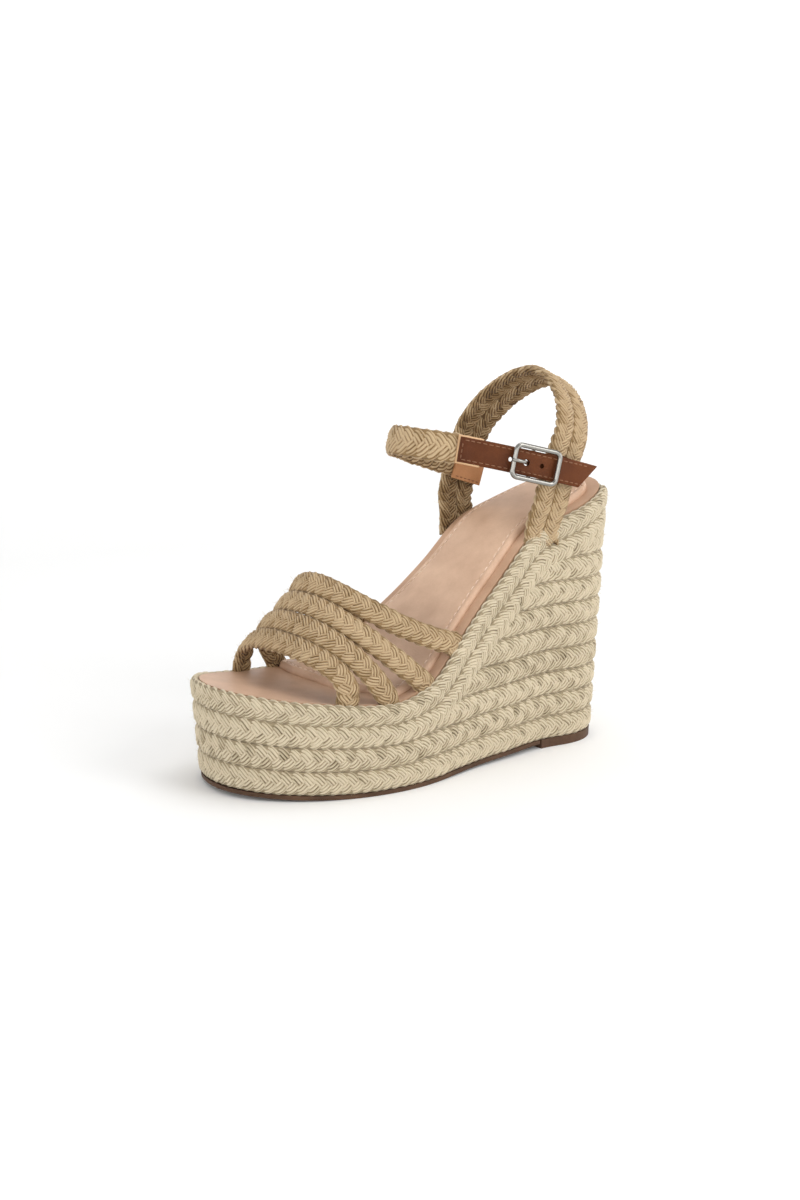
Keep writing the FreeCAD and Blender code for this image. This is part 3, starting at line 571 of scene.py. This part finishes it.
NODE_MATERIALS = {
    "wedge_core": CORE, "outsole": RUBBER, "heel_lift": RUBBER, "insole_board": BOARD,
    "insole_cover": COVER_LEATHER, "medial_patch": TAN_LEATHER, "buckle_frame": NICKEL,
    "buckle_prong": NICKEL, "buckle_tab": BROWN_LEATHER,
}
for node, material in NODE_MATERIALS.items():
    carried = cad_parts[node]
    for slot in carried.material_slots:
        slot.material = material


# ---------------------------------------------------------------- wrap
rng = np.random.default_rng(11)
PERIOD = 15.3  # length of one full turn of a ring's plait, which shows three Vs
HEEL_PERIOD = 13.5  # the same for the heel rows, which are plaited tighter
WRAP_THICK = 4.3
WRAP_SINK = 1.9  # middle of the plait inside the wrap's outer surface
wrap_fuzz = Pile()
around = np.linspace(0, wall_knots[-1], 700, endpoint=False)


def finish_plait(pile, plait, name, nodes, body, material, fuzz, per_skin, longest=3.2):
    piece = pile.piece(name, body, material)
    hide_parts(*nodes)
    fibres(plait, fuzz, rng, per_skin, longest)
    return piece


def wrap_ring(name, height, width, squeeze=0.0):
    """A braid right round the shoe. squeeze lowers its top edge, most of all at the medial arch."""
    points, out = wall_line(height, around)
    arch = np.clip((points[:, 1] + 38) / 30, 0, 1)
    inner = np.clip((6 - points[:, 0] + 1.4 * np.maximum(0, points[:, 1] - 90)) / 12, 0, 1)
    drop = squeeze * (0.3 + 0.7 * arch * inner)
    points[:, 2] -= drop * 0.62
    pile = Pile()
    plait = Plait(pile, rng)
    plait.lay(points - out * WRAP_SINK, out, width(points[:, 1]) - drop * 0.85, WRAP_THICK, PERIOD,
              closed=True, sense=-1)
    finish_plait(pile, plait, f"{name}_plait", [name], "sandal", WEDGE_JUTE, wrap_fuzz, 480)


def second_seam(y):
    return np.minimum(underside(y) + 2 * row_height(y), lower_seam(y))


wrap_ring("wrap_row_1", lambda y: underside(y) + 0.5 * row_height(y), row_height)
wrap_ring("wrap_row_2", lambda y: (underside(y) + row_height(y) + second_seam(y)) / 2, row_height)
wrap_ring("rim_braid_lower", under_rim(1.5), row_height)
wrap_ring("rim_braid_upper", under_rim(0.5), row_height, squeeze=5.0)


def heel_row(count):
    """A level braid round the heel, whose ends run in under the lower rim braid."""
    points, out = wall_line(lambda y: underside(y) + (count - 0.5) * BRAID_PITCH, around)
    cover = lower_seam(points[:, 1]) - (points[:, 2] - BRAID_PITCH / 2)
    shown = np.flatnonzero(cover > -3)
    points, out, cover = points[shown], out[shown], cover[shown]
    tuck = 1.2 * np.clip(1 - cover / (1.1 * BRAID_PITCH), 0, 1)
    pile = Pile()
    plait = Plait(pile, rng)
    plait.lay(points - out * (WRAP_SINK + tuck)[:, None], out, BRAID_PITCH, WRAP_THICK, HEEL_PERIOD, sense=-1)
    name = f"wrap_row_{count}"
    finish_plait(pile, plait, f"{name}_plait", [name], "sandal", WEDGE_JUTE, wrap_fuzz, 260)


for count in range(3, 10):
    heel_row(count)
fuzz = wrap_fuzz.piece("wrap_fibres", "sandal", WEDGE_JUTE)


# ---------------------------------------------------------------- toe band
VAMP = {
    "vamp_braid_a": (-4.0, -6.0, 2.0), "vamp_braid_b": (-24.0, -27.5, 2.1),
    "vamp_braid_c": (-46.0, -48.5, 2.2), "vamp_braid_d": (-66.3, -73.0, 2.25),
}  # from the throat to the toe: stations of the lateral and medial ends, roundness of the arch
VAMP_CROWN = np.array([-0.3, -67.5, 81.3])
VAMP_STACK = unit([-0.12, 0.62, 0.775])
FAN = 1.8  # how late the braids spread towards their ends
VAMP_THICK, VAMP_PERIOD = 4.7, 15.6


def board_side(y, side):
    """Point of the rim over the board's edge, side +1 lateral or -1 medial."""
    edge = OUTLINE[OUTLINE[:, 0] * side > 9]
    edge = edge[np.argsort(edge[:, 1])]
    return np.array([np.interp(y, edge[:, 1], edge[:, 0]), y, rim_height(y)])


def rail(y, side):
    return unit(board_side(y + 2, side) - board_side(y - 2, side))


def vamp_line(order, lateral_y, medial_y, roundness):
    step = (1.5 - order) * VAMP_PITCH
    crown = VAMP_CROWN + VAMP_STACK * step
    stacked = {side: board_side(np.mean([v[k] for v in VAMP.values()]) + step, side)
               for side, k in ((1, 0), (-1, 1))}
    ends = {1: board_side(lateral_y, 1), -1: board_side(medial_y, -1)}
    rails = {1: rail(lateral_y, 1), -1: rail(medial_y, -1)}
    lift = crown - (stacked[1] + stacked[-1]) * 0.5
    path, widths = [], []
    for angle in np.linspace(0, math.pi, 61):
        cosine, sine = math.cos(angle), math.sin(angle)
        side = 1 if cosine > 0 else -1
        sweep = side * abs(cosine) ** (2 / roundness)
        rise = abs(sine) ** (2 / roundness)
        fan = (ends[side] - stacked[side]) * (1 - rise) ** FAN
        path.append(stacked[1] * (1 + sweep) / 2 + stacked[-1] * (1 - sweep) / 2 + lift * rise + fan)
        widths.append(rails[side] * (1 - rise) + VAMP_STACK * rise)
    tail = np.array([0, 0, VAMP_TAIL])
    path = np.array([path[0] - tail] + path + [path[-1] - tail])
    widths = np.array([widths[0]] + widths + [widths[-1]])
    along = unit(np.gradient(path, axis=0))
    return path, unit(np.cross(widths, along))


strap_fuzz = Pile()
for order, (name, ends) in enumerate(VAMP.items()):
    path, out = vamp_line(order, *ends)
    pile = Pile()
    plait = Plait(pile, rng, two_faced=True)
    plait.lay(path, out, 0.98 * VAMP_PITCH, VAMP_THICK, VAMP_PERIOD)
    finish_plait(pile, plait, f"{name}_plait", [name], "sandal", STRAP_JUTE, strap_fuzz, 190)


# ---------------------------------------------------------------- heel strap
STRAP_ROOT = np.array([0.5, 54.1, 106.8])
STRAP_AXIS = unit([70.2, 4.8, 3.0])
STRAP_THICK, STRAP_PERIOD = 4.9, 12.8


def lean(rise):
    t = rise / STRAP_RISE
    return 0.02 + 1.10 * t - 0.68 * t * t


def strap_point(rise, across):
    middles = rise * (np.arange(40) + 0.5) / 40
    offset = np.array([0, np.sin(lean(middles)).mean() * rise, np.cos(lean(middles)).mean() * rise])
    return STRAP_ROOT + STRAP_AXIS * across + offset


def post_half(rise):
    t = min(max((rise - 4) / 14, 0), 1)
    return STRAP_FOOT + (STRAP_HALF - 1.0 - STRAP_FOOT) * t * t * (3 - 2 * t) + rise / STRAP_POST


def strap_line():
    """Heel strap from the lateral root over to the medial root: points, width ways, outward normals."""
    half = [(rise, post_half(rise)) for rise in np.linspace(-3, STRAP_POST, 40)[:-1]]
    for angle in np.linspace(0, math.pi / 2, 50):
        across = STRAP_HALF * max(math.cos(angle), 0.0) ** (2 / STRAP_ROUND)
        half.append((STRAP_POST + (STRAP_RISE - STRAP_POST) * math.sin(angle) ** (2 / STRAP_ROUND), across))
    both = half + [(rise, -across) for rise, across in reversed(half[:-1])]
    path = np.array([strap_point(*place) for place in both])
    widths = np.array([(0, math.cos(lean(rise)), -math.sin(lean(rise))) for rise, _ in both])
    along = unit(np.gradient(path, axis=0))
    return path, widths, unit(np.cross(widths, along))


path, widths, out = strap_line()


def bend_heel(piece):
    """Bakes a piece's placement into its mesh; it is not bent."""
    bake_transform(piece)


heel_fuzz = Pile()
for name, way, nodes in (
    ("heel_strap_front_plait", -1,
     ["heel_strap_front_braid", "heel_strap_root_lateral", "heel_strap_root_medial"]),
    ("heel_strap_rear_plait", 1, ["heel_strap_rear_braid"]),
):
    pile = Pile()
    plait = Plait(pile, rng, two_faced=True)
    plait.lay(path + widths * (way * STRAP_WIDTH / 4), out, STRAP_WIDTH / 2 + 0.2, STRAP_THICK,
              STRAP_PERIOD)
    bend_heel(finish_plait(pile, plait, name, nodes, None, STRAP_JUTE, heel_fuzz, 200))
fuzz = heel_fuzz.piece("heel_strap_fibres", None, STRAP_JUTE)
bend_heel(fuzz)


# ---------------------------------------------------------------- ankle strap
ANKLE = np.array([
    (42.6, 80, 136.8), (42.4, 69, 140.0), (40.9, 55.3, 143.6), (37.6, 40.7, 147.4), (32.2, 27, 150.9),
    (24, 12, 154.5), (13, -2.5, 157.3), (0, -8.5, 158.2), (-12.5, -3, 156.6), (-21.5, 9, 152.8),
    (-27.3, 22, 148.4), (-30.0, 34, 144.4), (-30.7, 45, 140.9), (-30.9, 54, 138.0), (-30.9, 63.5, 134.9),
])  # middle line, from the leather tip round the front to the medial post
ANKLE_UP = np.array([0, 0.286, 0.958])
ANKLE_PLAIT_THICK, ANKLE_PERIOD = 4.2, 15.5
ankle_at, ankle_knots = spline(ANKLE)


def ankle_frame(lengths):
    """Points, ways to the tip, ways up and ways out along the ankle strap."""
    lengths = np.asarray(lengths, dtype=float)
    points = ankle_at(lengths)
    along = -unit(ankle_at(lengths + 0.3) - ankle_at(lengths - 0.3))
    up = unit(ANKLE_UP - along * (along @ ANKLE_UP)[:, None])
    return points, along, up, np.cross(along, up)


lengths = np.linspace(LEATHER_SPLIT - 0.5, ankle_knots[-1] + 1.0, 120)
points, along, up, out = ankle_frame(np.minimum(lengths, ankle_knots[-1] - 0.4))
pile = Pile()
plait = Plait(pile, rng, two_faced=True)
plait.lay(points, out, ANKLE_WIDTH * np.where(lengths < LEATHER_SPLIT + 3, 0.93, 1.0),
          ANKLE_PLAIT_THICK, ANKLE_PERIOD)
ankle_fuzz = Pile()
ankle_piece = finish_plait(pile, plait, "ankle_plait", ["ankle_braid", "ankle_braid_anchor"], None,
                           STRAP_JUTE, ankle_fuzz, 160)
ankle_fibres = ankle_fuzz.piece("ankle_fibres", None, STRAP_JUTE)
for piece in (ankle_piece, ankle_fibres):
    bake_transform(piece)
fuzz = strap_fuzz.piece("toe_band_fibres", "sandal", STRAP_JUTE)


STRIP_SIDES = 32


def strip(name, body, material, lengths, width, thick, offset=0.0, trim=None):
    """Flat leather strip along the ankle strap, with rounded edges. trim(row, up) cuts its tip to shape."""
    points, along, up, out = ankle_frame(lengths)
    edge = np.linspace(0, 2 * math.pi, STRIP_SIDES, endpoint=False)
    corner = 0.45 * thick
    flat = width / 2 - corner
    across = np.clip(np.cos(edge) * 1.9, -1, 1) * flat + np.sign(np.cos(edge)) * corner * np.clip(
        (np.abs(np.cos(edge)) - 0.526) / 0.474, 0, 1) ** 0.6
    high = np.sign(np.sin(edge)) * (thick / 2) * np.clip(np.abs(np.sin(edge)) / 0.85, 0, 1) ** 0.7
    pile = Pile()
    section = points[:, None, :] + across[None, :, None] * up[:, None, :]
    offset = np.broadcast_to(offset, len(lengths))
    section = section + (high[None, :] + offset[:, None])[..., None] * out[:, None, :]
    if trim is not None:
        section = section + along[:, None, :] * trim(lengths, across)[..., None]
    start = pile.grid(section, 0.5, np.append(lengths, lengths[-1]), np.linspace(0, 1, STRIP_SIDES + 1), False,
                      True)
    pile.cap(range(start, start + STRIP_SIDES))
    last = start + (len(lengths) - 1) * STRIP_SIDES
    pile.cap(range(last + STRIP_SIDES - 1, last - 1, -1))
    piece = pile.piece(name, body, material)
    return piece


def tip_cut(lengths, across):
    """Slants the tip: its lower corner is cut back, and the slant fades out along the strap."""
    fade = np.clip(1 - (lengths - lengths[0]) / 14, 0, 1)[:, None]
    return -(LEATHER_WIDTH / 2 - across)[None, :] * 0.72 * fade


def overlap(lengths):
    """The leather rises on to the jute at its sewn end."""
    return 1.7 * np.clip((lengths - LEATHER_SPLIT + 5.5) / 4.5, 0, 1) ** 1.5


strap_lengths = np.linspace(0.3, LEATHER_SPLIT + 2.5, 110)
leather_end = strip("leather_end", "ankle_strap", BROWN_LEATHER, strap_lengths, LEATHER_WIDTH, LEATHER_THICK,
                    overlap(strap_lengths), tip_cut)


def punch(piece, places):
    """Cuts round holes through a strip at places given as (point, direction, radius)."""
    for point, way, radius in places:
        bpy.ops.mesh.primitive_cylinder_add(vertices=24, radius=radius * 0.001, depth=0.012,
                                            location=metres(point))
        tool = bpy.context.object
        tool.rotation_mode = "QUATERNION"
        tool.rotation_quaternion = Vector(way).to_track_quat("Z", "Y")
        cut = piece.modifiers.new("hole", "BOOLEAN")
        cut.operation = "DIFFERENCE"
        cut.solver = "EXACT"
        cut.object = tool
        bpy.context.view_layer.update()
        graph = bpy.context.evaluated_depsgraph_get()
        mesh = bpy.data.meshes.new_from_object(piece.evaluated_get(graph))
        piece.modifiers.remove(cut)
        piece.data = mesh
        bpy.data.objects.remove(tool)


prong_at = ankle_knots[3]
hole_points, _, _, hole_out = ankle_frame([prong_at + k * HOLE_PITCH for k in (-1, 0, 1)])
punch(leather_end, zip(hole_points, hole_out, HOLE_RADII))
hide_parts("ankle_leather_end")
edge_lengths = np.linspace(LEATHER_SPLIT - 9, LEATHER_SPLIT + 3.4, 16)
strip("leather_cut_edge", "ankle_strap", CUT_EDGE, edge_lengths, LEATHER_WIDTH + 1.3, 1.5,
      overlap(edge_lengths))


# ---------------------------------------------------------------- stitching
def stitches(pile, points, out, length, gap, radius, sink=0.3):
    """A row of stitches along a line: each is a small rounded thread laid on the surface."""
    values, total = resample(np.column_stack([points, out]), 10 * len(points), False)
    place = np.linspace(0, total, len(values))
    start = gap / 2
    while start + length < total:
        wanted = np.linspace(start, start + length, 5)
        part = np.column_stack([np.interp(wanted, place, column) for column in values.T])
        line, normal = part[:, :3], unit(part[:, 3:])
        along = unit(np.gradient(line, axis=0))
        side = unit(np.cross(normal, along))
        arch = np.array([-0.9, 0.1, 0.3, 0.1, -0.9]) * radius - sink * radius
        line = line + normal * (arch + radius * 0.6)[:, None]
        size = radius * np.array([0.55, 1.0, 1.05, 1.0, 0.55])
        pile.tube(line, side, normal, size[:, None, None] * ROUND)
        start += length + gap


THREAD = 0.26  # radius of the brown thread
SEAM_INSET = 1.6  # seam inside the leather's edge
leather_threads = Pile()
seam_lengths = np.linspace(6.5, LEATHER_SPLIT + 1.0, 90)
points, along, up, out = ankle_frame(seam_lengths)
points = points + out * overlap(seam_lengths)[:, None]
for way in (-1, 1):
    line = points + up * (way * (LEATHER_WIDTH / 2 - SEAM_INSET)) + out * LEATHER_THICK / 2
    stitches(leather_threads, line, out, 2.3, 0.8, THREAD)
cross = LEATHER_SPLIT + 1.0
cross_points, _, cross_up, cross_out = ankle_frame([cross])
rise = np.linspace(-LEATHER_WIDTH / 2 + SEAM_INSET, LEATHER_WIDTH / 2 - SEAM_INSET, 12)
rise = rise[:, None]
stitches(leather_threads, cross_points + cross_up * rise + cross_out * (LEATHER_THICK / 2 + overlap(cross)),
         np.repeat(cross_out, 12, axis=0), 2.0, 0.7, THREAD)
threads = leather_threads.piece("leather_stitches", "ankle_strap", BROWN_THREAD)

PATCH_LONG, PATCH_LOW, PATCH_HIGH = STRAP_WIDTH - 2, -8.0, 6.0
PATCH_GAP, PATCH_THICK = 0.25, 1.2
PATCH_FACE = ANKLE_THICK / 2 + PATCH_GAP + PATCH_THICK  # patch's outer face from the strap's middle
patch_threads = Pile()
patch_at, patch_along, patch_up, patch_out = ankle_frame([(ankle_knots[12] + ankle_knots[-1]) / 2 + 4.0])
reach = np.linspace(-PATCH_LONG / 2 + 0.8, PATCH_LONG / 2 - 0.8, 24)[:, None]
for high in (PATCH_LOW + 1.4, PATCH_HIGH - 1.4):
    stitches(patch_threads, patch_at + patch_along * reach + patch_up * high - patch_out * PATCH_FACE,
             np.repeat(-patch_out, 24, axis=0), 1.9, 0.8, THREAD)
threads = patch_threads.piece("patch_stitches", "heel_strap", BROWN_THREAD)


# ---------------------------------------------------------------- footbed pad
def pad_front(x):
    """Where the pad ends towards the toe, drawn back on both sides."""
    lateral = 9.0 * np.clip((x - 2) / 22, 0, 1) ** 2
    medial = 2.0 * np.clip((-x - 28) / 9, 0, 1) ** 2
    return PAD_FRONT + lateral + medial


def pad_outline():
    """Pad's edge in plan: the board's outline drawn in, with the toe end cut off and its corner rounded."""
    at, knots = spline(board_points(-PAD_INSET, PAD_REACH), closed=True)
    ring = at(np.linspace(0, knots[-1], 400, endpoint=False))
    kept = ring[:, 1] > pad_front(ring[:, 0])
    first = np.flatnonzero(kept & ~np.roll(kept, 1))[0]
    run = np.roll(ring, -first, axis=0)[:kept.sum()]
    x = np.linspace(run[-1, 0], run[0, 0], 42)[1:-1]
    loop = np.vstack([run, np.column_stack([x, pad_front(x)])])
    return resample(np.column_stack([loop, np.zeros(len(loop))]), 420, True)[0][:, :2]


cover_top = under_rim(0, COVER_DEPTH)


def pad_surface(plan, high):
    z = cover_top(plan[..., 1]) + high
    return np.dstack([plan[..., 0], plan[..., 1], z]) if plan.ndim == 3 else np.column_stack([plan, z])


edge = pad_outline()
for _ in range(6):
    edge = (np.roll(edge, 1, axis=0) + 2 * edge + np.roll(edge, -1, axis=0)) / 4
spine_y = np.clip(edge[:, 1], PAD_FRONT + 26, 82)
spine_x = np.interp(spine_y, [-30, 0, 30, 60, 90], [-1.5, 0.5, 2.0, 0.5, 0.5])
spine = np.column_stack([spine_x, spine_y])
inward = unit(spine - edge)
reach = np.linalg.norm(spine - edge, axis=1)
steps = np.concatenate([[0, 0.25, 0.7, 1.3, 2.0, 2.8, 3.3, 3.7, 4.1, 4.6, 5.4, 6.6], np.linspace(8.5, 40, 13)])
rings = []
for step in steps:
    travel = np.full(len(edge), step)
    if step > 6:
        travel = np.minimum(step, reach * (0.3 + 0.7 * step / steps[-1]))
    travel = np.where(step >= steps[-1], reach, np.minimum(travel, reach))
    plan = edge + inward * travel[:, None]
    roll = math.sqrt(max(0.0, 1 - (1 - min(step / 2.2, 1)) ** 2))
    groove = 0.45 * math.exp(-((step - PAD_SEAM) / 0.45) ** 2)
    crown = 0.9 * (1 - np.exp(-np.maximum(travel - PAD_SEAM, 0) / 7.0))
    rings.append(pad_surface(plan, PAD_RISE * roll - groove + crown * (1 if step > PAD_SEAM else 0)))
pad_grid = np.array(rings).transpose(1, 0, 2)
pile = Pile()
bottom = pad_surface(edge + inward * 0.4, -0.4)
pad_grid = np.concatenate([bottom[:, None, :], pad_grid], axis=1)
pile.grid(pad_grid, 0.5, np.arange(len(edge) + 1.0), np.linspace(0, 1, pad_grid.shape[1]), True, False)
pad = pile.piece("footbed_pad", "sandal", PAD_LEATHER)
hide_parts("sock_leather", "sock_foam")

pad_threads = Pile()
seam = pad_surface(edge + inward * PAD_SEAM, PAD_RISE - 0.25)
seam = np.vstack([seam, seam[:1]])
slope = cover_top(seam[:, 1] + 0.5) - cover_top(seam[:, 1] - 0.5)
seam_out = unit(np.column_stack([np.zeros(len(seam)), -slope, np.ones(len(seam))]))
stitches(pad_threads, seam, seam_out, 2.7, 1.5, 0.3)
threads = pad_threads.piece("footbed_stitches", "sandal", PALE_THREAD)


# ---------------------------------------------------------------- stage, light and camera
def far_glow(nodes, links, shader, near, far):
    """Makes a surface glow more at a distance from the shoe."""
    away = nodes.new("ShaderNodeVectorMath")
    away.operation = "LENGTH"
    links.new(coordinates(nodes, links, "Object", (1.0, 1.0, 1.0)), away.inputs[0])
    rise = nodes.new("ShaderNodeMapRange")
    for socket, value in zip(("From Min", "From Max", "To Min", "To Max"), (0.6, 2.5, near, far)):
        rise.inputs[socket].default_value = value
    links.new(away.outputs["Value"], rise.inputs["Value"])
    links.new(rise.outputs["Result"], shader.inputs["Emission Strength"])


def stage_piece(name, points, faces, colour, glow):
    mesh = bpy.data.meshes.new(name)
    mesh.from_pydata(points, [], faces)
    piece = bpy.data.objects.new(name, mesh)
    bpy.context.scene.collection.objects.link(piece)
    material, nodes, links, shader = new_material(f"{name}_surface", 0.9)
    shader.inputs["Base Color"].default_value = (*colour, 1)
    shader.inputs["Emission Color"].default_value = (1, 1, 1, 1)
    far_glow(nodes, links, shader, *glow)
    mesh.materials.append(material)
    piece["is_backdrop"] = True


def white_studio(reach=14.0, high=5.0, sides=48):
    """Pale floor with a glowing white wall all round it."""
    angles = np.linspace(0, 2 * math.pi, sides, endpoint=False)
    ring = [(reach * math.cos(a), reach * math.sin(a)) for a in angles]
    floor = [(x, y, 0.0) for x, y in ring]
    stage_piece("floor", floor, [tuple(range(sides))], (0.93, 0.93, 0.925), (0.0, 0.4))
    points = [(x, y, z) for z in (0.0, high) for x, y in ring]
    faces = [(i, (i + 1) % sides, sides + (i + 1) % sides, sides + i) for i in range(sides)]
    stage_piece("wall", points, faces, (0.9, 0.9, 0.9), (1.0, 1.0))


def soft_light(name, place, target, size, power, colour=(1, 1, 1)):
    light = bpy.data.lights.new(name, "AREA")
    light.shape = "SQUARE"
    light.size = size
    light.energy = power
    light.color = colour
    lamp = bpy.data.objects.new(name, light)
    lamp.location = place
    lamp.rotation_euler = (Vector(target) - Vector(place)).to_track_quat("-Z", "Y").to_euler()
    bpy.context.scene.collection.objects.link(lamp)


white_studio()
middle = (0.0, 0.0, 0.08)
soft_light("key", (1.5, 0.55, 1.15), middle, 0.8, 10)
soft_light("front", (0.9, -1.4, 0.8), middle, 1.0, 2)
soft_light("top", (0.2, 0.5, 1.9), middle, 1.0, 8)

world = bpy.data.worlds.new("soft_white")
bpy.context.scene.world = world
world.use_nodes = True
world.node_tree.nodes["Background"].inputs["Color"].default_value = (1, 1, 1, 1)
world.node_tree.nodes["Background"].inputs["Strength"].default_value = 0.66
bpy.context.scene.view_settings.view_transform = "Standard"

CAMERA_BACK = unit([0.7873, -0.5803, 0.2075])
CAMERA_TARGET = np.array([-3.245, -4.402, 78.6])
CAMERA_DISTANCE = 954.4
camera = bpy.data.cameras.new("camera")
camera.lens = 58.3
camera.sensor_width = 36
camera_object = bpy.data.objects.new("camera", camera)
camera_object.location = metres(CAMERA_TARGET + CAMERA_BACK * CAMERA_DISTANCE)
camera_object.rotation_euler = (-Vector(CAMERA_BACK)).to_track_quat("-Z", "Y").to_euler()
bpy.context.scene.collection.objects.link(camera_object)
bpy.context.scene.camera = camera_object


def corners(box):
    return [[float(value) for value in corner] for corner in box]


bpy.context.view_layer.update()
{"cad": corners(cad_box), "visual": corners(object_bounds())}
